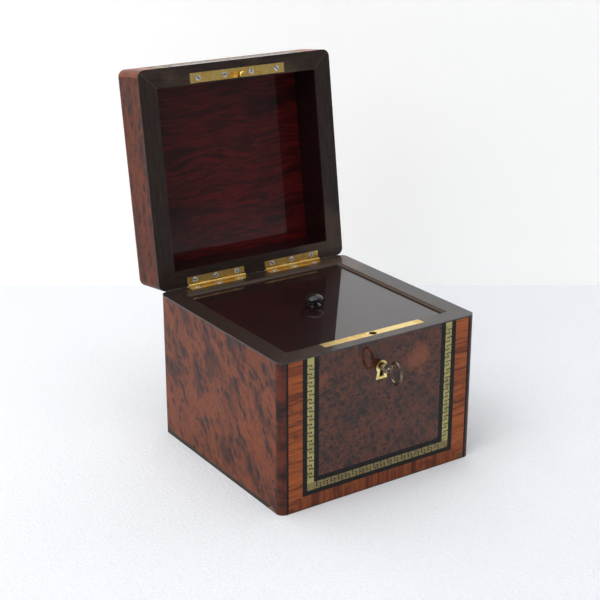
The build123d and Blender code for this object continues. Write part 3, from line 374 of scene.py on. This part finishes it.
def rosewood(name, on_lid, pale, dark, coat):
    """Rosewood polished to a mirror: fine dark stripes along X under clear polish."""
    f = Finish(name, on_lid, Coat_Weight=coat, Coat_Roughness=0.025, Coat_IOR=1.58, Roughness=0.5,
               Specular_IOR_Level=0.1)
    wave = f.stretch(f.warp(f.place, 50.0, 8.0), (24.0, 1.4, 1.4))
    stripes = f.noise(wave, 4.0, 4.0, 0.55)
    veins = f.noise(wave, 1.2, 3.0, 0.6)
    pores = f.noise(f.stretch(f.place, (16.0, 1.0, 1.0)), 0.5, 2.0)
    bands = f.noise(f.stretch(f.warp(f.place, 50.0, 14.0), (6.0, 1.5, 1.5)), 13.0, 3.0)
    colour = f.ramp(stripes, (0.36, dark), (0.48, pale), (0.58, dark), (0.68, pale))
    colour = f.mix(f.step(bands, 0.5, 0.64, 0.0, 0.6), colour, srgb(26, 6, 8))
    colour = f.mix(f.step(veins, 0.52, 0.66, 0.0, 0.6), colour, dark)
    colour = f.mix(f.step(pores, 0.55, 0.72, 0.0, 0.6), colour, dark)
    f.set("Base Color", colour)
    grain = f.math("MULTIPLY", f.noise(f.stretch(f.place, (10.0, 1.0, 1.0)), 0.7, 2.0), 0.03)
    f.bump(f.math("ADD", f.noise(f.place, 30.0, 2.0), grain), 0.06, coat=True)
    return f


def carcass(name, on_lid=False):
    """Bare boards, stained like the rims where they show as the opening's walls."""
    f = Finish(name, on_lid, Roughness=0.7)
    grain = f.noise(f.stretch(f.warp(f.place, 30.0, 3.0), (14.0, 1.0, 1.6)), 2.4, 4.0, 0.6)
    pores = f.noise(f.stretch(f.place, (10.0, 1.0, 1.0)), 0.5, 2.0)
    colour = f.ramp(grain, (0.35, srgb(118, 88, 60)), (0.55, srgb(150, 116, 80)), (0.7, srgb(128, 96, 66)))
    colour = f.mix(f.step(pores, 0.58, 0.72, 0.0, 0.55), colour, srgb(76, 54, 38))
    across, deep, height = f.axes()
    inward = f.step(f.math("ABSOLUTE", across), OPENING_X + 0.4, OPENING_X + 0.2)
    forward = f.step(f.math("ABSOLUTE", deep), OPENING_X + 0.2, OPENING_X)
    above = f.step(height, OPENING_LOW, OPENING_LOW + 0.5)
    wall = f.math("MULTIPLY", f.math("MULTIPLY", inward, above), forward)
    colour = f.mix(wall, colour, srgb(118, 103, 92))
    f.set("Base Color", colour)
    f.bump(grain, 0.06)
    return f


# ---- metal -----------------------------------------------------------------------------
def metal(name, bright, dull, dirt, roughness, on_lid=False, spots=0.45):
    """Old metal: rubbed bright, clouded with tarnish, and dirty in small pits."""
    f = Finish(name, on_lid, Metallic=1.0)
    clouds = f.noise(f.place, 7.0, 5.0, 0.6)
    colour = f.mix(f.step(clouds, 0.42, 0.66), bright, dull)
    pits = f.noise(f.place, 1.6, 4.0, 0.6)
    colour = f.mix(f.step(pits, 0.6, 0.74, 0.0, spots), colour, dirt)
    scratches = f.noise(f.stretch(f.place, (12.0, 1.0, 1.0), (0, 0, 0.2)), 0.35, 2.0)
    f.set("Base Color", colour)
    f.set("Roughness", f.math("ADD", f.step(clouds, 0.35, 0.7, roughness, roughness + 0.16),
                              f.step(scratches, 0.5, 0.75, 0.0, 0.08)))
    f.bump(f.math("ADD", pits, scratches), 0.012)
    return f


def screw_steel(name, on_lid):
    """Bright screw heads with painted shade and dirt in the slots, which lie furthest from the shut line."""
    f = metal(name, srgb(214, 216, 220), srgb(176, 178, 180), srgb(96, 92, 88), 0.22, on_lid, 0.3)
    _, _, height = f.axes()
    deep = f.math("ABSOLUTE", f.math("SUBTRACT", height, SHUT_LINE))
    clean = f.shader.inputs["Base Color"].links[0].from_socket
    f.shader.inputs["Metallic"].default_value = 0.6
    # the slot floors are painted near-black: painted shade, with some dirt
    f.set("Base Color", f.mix(f.step(deep, 0.3, 0.36), clean, srgb(24, 21, 20)))
    return f


def inlay_brass(name, on_lid):
    """Dull greenish brass of the Greek key, dirtiest along the foot."""
    f = Finish(name, on_lid, Metallic=0.55)
    clouds = f.noise(f.place, 9.0, 4.0, 0.6)
    colour = f.ramp(clouds, (0.35, srgb(146, 136, 82)), (0.55, srgb(184, 174, 110)),
                    (0.7, srgb(160, 146, 90)))
    pits = f.noise(f.place, 0.7, 3.0, 0.6)
    dirt = f.step(pits, 0.55, 0.7, 0.0, 0.5)
    if not on_lid:
        _, _, height = f.axes()
        foot = f.step(height, KEY_HIGH + 0.3, KEY_HIGH - 0.3)
        dirt = f.math("ADD", dirt, f.math("MULTIPLY", foot, f.step(pits, 0.38, 0.56, 0.1, 0.8)))
    colour = f.mix(dirt, colour, srgb(96, 72, 50))
    f.set("Base Color", colour)
    f.set("Roughness", f.step(clouds, 0.3, 0.7, 0.3, 0.48))
    f.bump(pits, 0.015)
    return f


def mastic():
    """Black filling in the sawn lines of the Greek key."""
    f = Finish("key_mastic", Coat_Weight=0.2, Coat_Roughness=0.15, Roughness=0.6)
    grit = f.noise(f.place, 0.8, 3.0)
    f.set("Base Color", f.ramp(grit, (0.35, srgb(10, 10, 9)), (0.7, srgb(26, 24, 20))))
    return f


def black_polish():
    """Turned and polished black wood."""
    f = Finish("knob_black", Coat_Weight=0.7, Coat_Roughness=0.03, Roughness=0.5,
               Specular_IOR_Level=0.15)
    rings = f.noise(f.stretch(f.place, (6.0, 6.0, 1.0)), 1.0, 3.0)
    f.set("Base Color", f.ramp(rings, (0.35, srgb(8, 8, 9)), (0.7, srgb(20, 18, 19))))
    f.bump(rings, 0.01)
    return f


def tin_foil():
    """Dull dented foil of the compartment."""
    f = Finish("foil_tin", Metallic=0.9)
    dents = f.noise(f.place, 9.0, 5.0, 0.6)
    clouds = f.noise(f.place, 30.0, 4.0)
    f.set("Base Color", f.ramp(clouds, (0.35, srgb(120, 118, 116)), (0.65, srgb(178, 177, 174))))
    f.set("Roughness", f.step(clouds, 0.3, 0.7, 0.38, 0.55))
    f.bump(dents, 0.5)
    return f


def shade_and_dust_finish(name):
    """Near-black painted shade, with old wax and pale dust."""
    f = Finish(name, Roughness=0.9)
    dust = f.noise(f.stretch(f.place, (3.0, 1.0, 1.0)), 1.0, 4.0, 0.6)
    # the two dark tones are painted shade with old wax; the pale one is dust
    wax_and_shade, dull, pale = srgb(22, 18, 16), srgb(40, 34, 30), srgb(120, 112, 104)
    f.set("Base Color", f.ramp(dust, (0.4, wax_and_shade), (0.6, dull), (0.72, pale)))
    f.bump(dust, 0.05)
    return f


# ---- finishes on the CAD nodes -----------------------------------------------------------
paint(side_burl("body_side_burl", False, 32, 1.9, srgb(134, 68, 36), srgb(106, 51, 30)), "left_burl_veneer",
      "right_burl_veneer", "back_burl_veneer")
paint(side_burl("lid_side_burl", True, 82, 2.6, srgb(112, 50, 22), srgb(86, 36, 18)), "lid_left_burl_veneer",
      "lid_right_burl_veneer", "lid_back_burl_veneer")
paint(front_burl("body_front_burl", False), "front_burl_panel")
paint(front_burl("lid_front_burl", True), "lid_front_burl_panel", "lid_top_burl_panel")
paint(kingwood("body_kingwood", False), "front_crossband")
paint(kingwood("lid_kingwood", True), "lid_crossband")
paint(edge_wood("body_edge_wood", False), "front_corner_strips")
paint(edge_wood("lid_edge_wood", True), "lid_edge_strips")
paint(rim_wood("body_rim", False), "front_rim_facing", "back_rim_facing", "left_rim_facing",
      "right_rim_facing")
paint(rim_wood("lid_rim", True), "lid_rim_facing")
paint(ebony("body_ebony", False), "front_ebony_bands", "front_key_bed")
paint(ebony("lid_ebony", True), "lid_ebony_bands", "lid_key_bed")
paint(inlay_brass("body_inlay", False), "front_key_inlay")
paint(inlay_brass("lid_inlay", True), "lid_key_inlay")
paint(rosewood("inner_rosewood", False, srgb(38, 9, 10), srgb(18, 5, 6), 1.0), "inner_lid_panel")
paint(rosewood("lid_rosewood", True, srgb(90, 17, 16), srgb(50, 9, 11), 0.45), "lid_lining_panel")
paint(rosewood("lid_wall_rosewood", True, srgb(34, 9, 10), srgb(16, 5, 7), 0.45), "lid_lining_strips")
paint(carcass("body_carcass"), "base_board", "front_board", "back_board", "left_board", "right_board",
      "compartment_lining")
paint(carcass("lid_carcass", True), "lid_front_board", "lid_back_board", "lid_left_board",
      "lid_right_board", "lid_top_board")
BRASS = (srgb(250, 214, 130), srgb(222, 174, 90), srgb(120, 84, 42))
paint(metal("hinge_brass", *BRASS, 0.22, False, 0.25), "left_hinge_body_leaf", "right_hinge_body_leaf",
      "left_hinge_lid_leaf", "right_hinge_lid_leaf", "strike_plate")
paint(metal("plate_brass", srgb(250, 222, 150), srgb(232, 192, 112), srgb(150, 110, 60), 0.26, False, 0.4),
      "lock_plate", "lock_rivets")
paint(metal("escutcheon_brass", srgb(246, 226, 156), srgb(224, 196, 118), srgb(120, 94, 54), 0.3),
      "escutcheon")
paint(metal("filed_steel", srgb(150, 150, 150), srgb(112, 110, 108), srgb(58, 50, 44), 0.35),
      "lock_case", "lock_cover", "bolt_spring", "drill_pin", "lock_bolt")
paint(metal("screw_steel", srgb(196, 198, 202), srgb(150, 150, 152), srgb(70, 66, 62), 0.25),
      "lock_screws", "hinge_pins", "body_hinge_screws", "lid_hinge_screws", "strike_screws")
KEY_STEEL = metal("key_steel", srgb(128, 112, 96), srgb(78, 66, 56), srgb(34, 26, 22), 0.24)
paint(KEY_STEEL, "key")
KNOB_BLACK = black_polish()
paint(KNOB_BLACK, "inner_lid_knob")
paint(tin_foil(), "foil_lining")


# ---- shapes ----------------------------------------------------------------------------------
OPEN_LID = (Matrix.Translation(HINGE * MM) @ Matrix.Rotation(-LID_ANGLE, 4, "X")
            @ Matrix.Translation(-HINGE * MM))      # carries a point of the shut lid to the open one


def piece(name, build, finish, body):
    """A mesh object filled by build(bm), riding on a body."""
    bm = bmesh.new()
    build(bm)
    mesh = bpy.data.meshes.new(name)
    bm.to_mesh(mesh)
    bm.free()
    made = bpy.data.objects.new(name, mesh)
    bpy.context.scene.collection.objects.link(made)
    mesh.materials.append(finish.material)
    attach(made, body)
    return made


def slab(bm, low, high, place=Matrix.Identity(4)):
    """A box between two corners in millimetres."""
    size = [b - a for a, b in zip(low, high)]
    centre = [(a + b) / 2 for a, b in zip(low, high)]
    matrix = place @ Matrix.Translation(Vector(centre) * MM) @ Matrix.Diagonal((*(s * MM for s in size), 1))
    bmesh.ops.create_cube(bm, size=1.0, matrix=matrix)


def lathe(bm, profile, place, steps=48):
    """Turn a profile of (radius, height) pairs, in millimetres, that starts and ends on the axis."""
    turns = [2 * pi * step / steps for step in range(steps)]
    rings = []
    for radius, height in profile:
        around = turns if radius > 0 else turns[:1]
        points = [Vector((radius * cos(turn), radius * sin(turn), height)) for turn in around]
        rings.append([bm.verts.new(place @ (point * MM)) for point in points])
    for low, high in zip(rings, rings[1:]):
        for step in range(steps):
            after = (step + 1) % steps
            if len(low) == 1:
                bm.faces.new((low[0], high[step], high[after]))
            elif len(high) == 1:
                bm.faces.new((low[step], low[after], high[0]))
            else:
                bm.faces.new((low[step], low[after], high[after], high[step]))
    bmesh.ops.recalc_face_normals(bm, faces=bm.faces)


def soften(made, angle):
    """Smooth shading, with edges sharper than the angle kept crisp."""
    for face in made.data.polygons:
        face.use_smooth = True
    made.data.set_sharp_from_angle(angle=radians(angle))


# ---- screws ----------------------------------------------------------------------------------
SCREW_SLOT_HALF = 0.3         # half width of the slot
SCREW_BODY = ((0, -8.0), (0.9, -8.0), (0.95, -1.3), (1.88, -0.4), (1.88, -0.14), (0, -0.14))
SCREW_DOME = ((0, -0.2), (1.88, -0.2), (1.88, 0.02), (1.7, 0.1), (1.2, 0.18), (0.6, 0.22), (0, 0.235))


def screw(bm, x, y, z, up, slot_turn):
    """A countersunk screw with a low round head, made as two halves on either side of its slot."""
    place = Matrix.Translation(Vector((x, y, z)) * MM)
    if not up:
        place = OPEN_LID @ place @ Matrix.Rotation(pi, 4, "X")
    place = place @ Matrix.Rotation(radians(slot_turn), 4, "Z")
    lathe(bm, SCREW_BODY, place, 24)
    for side in (1, -1):
        half = bmesh.new()
        lathe(half, SCREW_DOME, Matrix.Identity(4), 32)
        cut = bmesh.ops.bisect_plane(half, geom=half.verts[:] + half.edges[:] + half.faces[:],
                                     plane_co=(side * SCREW_SLOT_HALF * MM, 0, 0), plane_no=(side, 0, 0),
                                     clear_inner=True)
        rim = [part for part in cut["geom_cut"] if isinstance(part, bmesh.types.BMEdge)]
        bmesh.ops.contextual_create(half, geom=rim)
        half.transform(place)
        bmesh.ops.recalc_face_normals(half, faces=half.faces)
        carried = bpy.data.meshes.new("half_head")
        half.to_mesh(carried)
        half.free()
        bm.from_mesh(carried)
        bpy.data.meshes.remove(carried)


HINGE_SCREWS_X = (-47.6, -31.0, -14.4, 14.4, 31.0, 47.6)
HINGE_SCREWS_Y = 69.5
STRIKE_SCREWS_X = (-30.8, -10.4, 10.4, 30.8)
STRIKE_SCREWS_Y = -64.6


def screw_row(xs, y, z, up, first_turn, turn_step):
    """Screws along X, each with its slot turned on from the last one's, in degrees."""
    def build(bm):
        for index, x in enumerate(xs):
            screw(bm, x, y, z, up, first_turn + turn_step * index)
    return build


BODY_SCREW_STEEL = screw_steel("body_screw_steel", False)
LID_SCREW_STEEL = screw_steel("lid_screw_steel", True)
body_screws = screw_row(HINGE_SCREWS_X, HINGE_SCREWS_Y, BODY_TOP, True, 25, 47)
lid_screws = screw_row(HINGE_SCREWS_X, HINGE_SCREWS_Y, LID_RIM, False, 70, 53)
strike_screws = screw_row(STRIKE_SCREWS_X, STRIKE_SCREWS_Y, LID_RIM, False, 40, 61)
body_screw_heads = piece("body_hinge_screw_heads", body_screws, BODY_SCREW_STEEL, "root")
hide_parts("body_hinge_screws")
lid_screw_heads = piece("lid_hinge_screw_heads", lid_screws, LID_SCREW_STEEL, "lid")
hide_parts("lid_hinge_screws")
strike_screw_heads = piece("strike_screw_heads", strike_screws, LID_SCREW_STEEL, "lid")
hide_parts("strike_screws")
for heads in (body_screw_heads, lid_screw_heads, strike_screw_heads):
    soften(heads, 40)


# ---- key and knob ----------------------------------------------------------------------------
# The key, along its own axis from the tip of the barrel to the bow.
KEY_Z, KEY_TIP_Y = 82.5, -62.2
KEY_BARREL = ((0, 0), (1.75, 0), (1.9, 0.25), (1.9, 13.4), (2.2, 13.6), (2.55, 13.9), (2.65, 14.2),
              (2.5, 14.5), (2.0, 14.8), (1.9, 15.1), (2.6, 15.35), (3.1, 15.7), (3.2, 16.1), (3.0, 16.5),
              (2.2, 16.8), (1.9, 17.2), (2.4, 17.45), (2.7, 17.8), (2.7, 18.2), (2.3, 18.6), (1.6, 19.0),
              (1.25, 19.8), (1.15, 20.6), (0, 20.6))
BOW_Y = -88.0
BOW_PATH = (5.15, 6.85)       # half length and half height of the middle of its ring
BOW_STROKE = (0.75, 0.95)     # half thickness in the plane of the ring, and across it
BOW_STEPS, STROKE_STEPS = 72, 16
BIT_HALF = 0.6                # half thickness
BIT_EDGES_Y = (-65.4, -64.4, -63.6, -62.5)      # front, the notch's two sides, back
BIT_ROOT, BIT_NOTCH, BIT_REACH = 1.5, 4.7, 6.3      # distances below the key's axis


def bow(bm):
    """An oval ring of round stroke, standing along the key."""
    rings = []
    for step in range(BOW_STEPS):
        turn = 2 * pi * step / BOW_STEPS
        middle = Vector((0, BOW_Y + BOW_PATH[0] * cos(turn), KEY_Z + BOW_PATH[1] * sin(turn)))
        outward = Vector((0, BOW_PATH[1] * cos(turn), BOW_PATH[0] * sin(turn))).normalized()
        ring = []
        for part in range(STROKE_STEPS):
            angle = 2 * pi * part / STROKE_STEPS
            shift = outward * (BOW_STROKE[0] * cos(angle)) + Vector((BOW_STROKE[1] * sin(angle), 0, 0))
            ring.append(bm.verts.new((middle + shift) * MM))
        rings.append(ring)
    for ring, following in zip(rings, rings[1:] + rings[:1]):
        for part in range(STROKE_STEPS):
            after = (part + 1) % STROKE_STEPS
            bm.faces.new((ring[part], ring[after], following[after], following[part]))


def key_shape(bm):
    """A pipe key: turned barrel, oval bow, and a bit notched in its edge."""
    place = Matrix.Translation(Vector((0, KEY_TIP_Y, KEY_Z)) * MM) @ Matrix.Rotation(pi / 2, 4, "X")
    lathe(bm, KEY_BARREL, place)
    bow(bm)
    for front, back, reach in zip(BIT_EDGES_Y, BIT_EDGES_Y[1:], (BIT_REACH, BIT_NOTCH, BIT_REACH)):
        slab(bm, (-BIT_HALF, front, KEY_Z - reach), (BIT_HALF, back, KEY_Z - BIT_ROOT))
    bmesh.ops.recalc_face_normals(bm, faces=bm.faces)


KNOB_Y, PANEL_TOP = 0.65, 99.1
KNOB = ((0, -5.0), (1.98, -5.0), (1.98, 0), (4.1, 0), (4.4, 0.2), (4.4, 0.6), (4.1, 1.0), (3.3, 1.4),
        (2.7, 1.9), (2.45, 2.5), (2.7, 3.1), (3.6, 3.6), (4.8, 3.95), (5.6, 4.35), (5.95, 4.8),
        (5.95, 5.3), (5.7, 5.9), (5.1, 6.5), (4.2, 7.1), (3.1, 7.6), (1.8, 7.95), (0.8, 8.08), (0, 8.1))


def knob_shape(bm):
    """The inner lid's knob, with a peg below it that goes through the panel."""
    lathe(bm, KNOB, Matrix.Translation(Vector((0, KNOB_Y, PANEL_TOP)) * MM), 72)


smooth_key = piece("pipe_key", key_shape, KEY_STEEL, "key")
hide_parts("key")
soften(smooth_key, 35)
smooth_knob = piece("turned_knob", knob_shape, KNOB_BLACK, "inner_lid")
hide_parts("inner_lid_knob")
soften(smooth_knob, 60)


# ---- painted shade and dust in the hinge joint, and filling of the inlay -----------------------
SHADE_DUST_RUNS = ((-70.5, -54.0), (-8.0, 8.0), (54.0, 70.5))      # beside and between the hinges
SHADE_DUST_Y = (HALF_D - 0.1, HALF_D + 0.2)
SHADE_DUST_Z = (BODY_TOP - 0.2, BODY_TOP + 0.22)
MASTIC_BELOW = 0.03           # the filling stops this much below the brass
KEY_BED_DEPTH = 0.4           # and reaches this far into the veneer


def front_mastic(bm):
    """Filling of the Greek key on the body's front: foot run, then the two uprights."""
    front, back = -HALF_D + MASTIC_BELOW, -HALF_D + KEY_BED_DEPTH
    slab(bm, (-KEY_OUT, front, KEY_LOW), (KEY_OUT, back, KEY_HIGH))
    for sign in (-1, 1):
        low, high = sorted((sign * KEY_IN, sign * KEY_OUT))
        slab(bm, (low, front, KEY_HIGH), (high, back, BODY_TOP - RIM_FACING))


def lid_mastic(bm):
    """Filling of the Greek key on the lid's front and top."""
    front, back = -HALF_D + MASTIC_BELOW, -HALF_D + KEY_BED_DEPTH
    slab(bm, (-KEY_OUT, front, LID_KEY_LOW), (KEY_OUT, back, LID_KEY_HIGH), OPEN_LID)
    top, bed = LID_TOP - MASTIC_BELOW, LID_TOP - KEY_BED_DEPTH
    out_y, in_y = KEY_OUT - DEPTH_STEP, KEY_IN - DEPTH_STEP
    for sign in (-1, 1):
        low, high = sorted((sign * KEY_IN, sign * KEY_OUT))
        slab(bm, (low, front, LID_RIM + RIM_FACING), (high, back, LID_KEY_LOW), OPEN_LID)
        slab(bm, (low, -in_y, bed), (high, in_y, top), OPEN_LID)
        low, high = sorted((sign * in_y, sign * out_y))
        slab(bm, (-KEY_OUT, low, bed), (KEY_OUT, high, top), OPEN_LID)


def joint_shade_and_dust(bm):
    """Dark slabs in the slit along the back edge, where the open lid comes down to the body: painted shade,
    with old wax and pale dust.
    """
    for low_x, high_x in SHADE_DUST_RUNS:
        slab(bm, (low_x, SHADE_DUST_Y[0], SHADE_DUST_Z[0]), (high_x, SHADE_DUST_Y[1], SHADE_DUST_Z[1]))


# the slit between lid and body is filled with a dark piece: painted shade, with pale dust
piece("hinge_joint_shade_and_dust", joint_shade_and_dust, shade_and_dust_finish("joint_shade_and_dust"), "root")
MASTIC = mastic()
piece("front_key_mastic", front_mastic, MASTIC, "root")
piece("lid_key_mastic", lid_mastic, MASTIC, "lid")


# ---- stage, light and camera -------------------------------------------------------------------
CAMERA_PLACE = Vector((-0.46917, -0.68429, 0.40871))
CAMERA_TURN = (radians(69.79), 0.0, radians(-33.77))
WALL_DISTANCE = 1.149         # from the camera, along the floor
WALL_SIZE = (7.0, 1.8)
FLOOR_SIZE = (6.0, 6.0)


def stage_plane(name, matrix, size, finish):
    """A flat stage piece of that width and height, in metres."""
    bm = bmesh.new()
    bmesh.ops.create_grid(bm, x_segments=1, y_segments=1, size=0.5)
    mesh = bpy.data.meshes.new(name)
    bm.to_mesh(mesh)
    bm.free()
    made = bpy.data.objects.new(name, mesh)
    bpy.context.scene.collection.objects.link(made)
    made.matrix_world = matrix @ Matrix.Diagonal((*size, 1, 1))
    mesh.materials.append(finish.material)
    return made


def plaster(name, tint, relief, weave):
    """Painted plaster, with a faint weave across it where that is asked for."""
    f = Finish(name, Roughness=0.85, Specular_IOR_Level=0.2)
    place = f.node("ShaderNodeNewGeometry").outputs["Position"]
    place = f.stretch(place, (MM, MM, MM))
    lumps = f.noise(place, 2.6, 6.0, 0.7)
    broad = f.noise(place, 260.0, 2.0)
    shade = f.math("ADD", f.step(broad, 0.3, 0.7, 0.975, 1.0), f.step(lumps, 0.4, 0.7, -0.02, 0.015))
    if weave:
        threads = f.noise(f.stretch(place, (60.0, 60.0, 1.0)), 2.2, 2.0)
        shade = f.math("ADD", shade, f.step(threads, 0.35, 0.65, -0.006, 0.006))
    grey = f.node("ShaderNodeCombineColor", Red=shade, Green=shade, Blue=shade).outputs[0]
    f.set("Base Color", f.mix(1.0, grey, tint, "MULTIPLY"))
    f.bump(lumps, relief)
    return f


floor_finish = plaster("stage_floor", (0.85, 0.865, 0.895, 1.0), 1.0, False)
stage_plane("stage_floor", Matrix.Identity(4), FLOOR_SIZE, floor_finish)

wall_finish = plaster("stage_wall", (0.84, 0.84, 0.83, 1.0), 0.1, True)
wall_finish.shader.inputs["Emission Color"].default_value = (1.0, 1.0, 0.99, 1.0)
wall_finish.shader.inputs["Emission Strength"].default_value = 0.25
# The wall's back lets everything through, so that it doesn't stand in the way of views from behind.
see_through = wall_finish.node("ShaderNodeBsdfTransparent").outputs[0]
from_behind = wall_finish.node("ShaderNodeNewGeometry").outputs["Backfacing"]
either = wall_finish.node("ShaderNodeMixShader", Fac=from_behind)
wall_finish.feed(either.inputs[1], wall_finish.shader.outputs[0])
wall_finish.feed(either.inputs[2], see_through)
wall_finish.feed(wall_finish.tree.nodes["Material Output"].inputs["Surface"], either.outputs[0])
under_camera = (Matrix.Translation((CAMERA_PLACE.x, CAMERA_PLACE.y, 0))
                @ Matrix.Rotation(CAMERA_TURN[2], 4, "Z"))
wall_place = (under_camera @ Matrix.Translation((0, WALL_DISTANCE, WALL_SIZE[1] / 2))
              @ Matrix.Rotation(pi / 2, 4, "X"))
stage_plane("stage_wall", wall_place, WALL_SIZE, wall_finish)


def softbox(name, place, target, size, power, tint):
    """A square soft light, in metres and watts, that faces its target."""
    light = bpy.data.lights.new(name, "AREA")
    light.shape = "SQUARE"
    light.size = size
    light.energy = power
    light.color = tint
    made = bpy.data.objects.new(name, light)
    bpy.context.scene.collection.objects.link(made)
    made.location = place
    made.rotation_euler = (Vector(target) - Vector(place)).to_track_quat("-Z", "Y").to_euler()


softbox("light_left", (-1.5, -0.4, 1.3), (0, 0, 0.1), 1.5, 20.0, (1.0, 0.98, 0.96))
softbox("light_top", (-0.2, 0.1, 2.0), (0, 0.05, 0), 2.2, 32.0, (0.96, 0.98, 1.0))

world = bpy.data.worlds.new("studio")
world.use_nodes = True
world.node_tree.nodes["Background"].inputs["Color"].default_value = (0.93, 0.96, 1.0, 1.0)
world.node_tree.nodes["Background"].inputs["Strength"].default_value = 0.26
bpy.context.scene.world = world

camera_data = bpy.data.cameras.new("camera")
camera_data.lens = 81.07
camera_data.sensor_width = 36.0
camera = bpy.data.objects.new("camera", camera_data)
bpy.context.scene.collection.objects.link(camera)
camera.location = CAMERA_PLACE
camera.rotation_euler = CAMERA_TURN
bpy.context.scene.camera = camera
bpy.context.scene.view_settings.view_transform = "Standard"
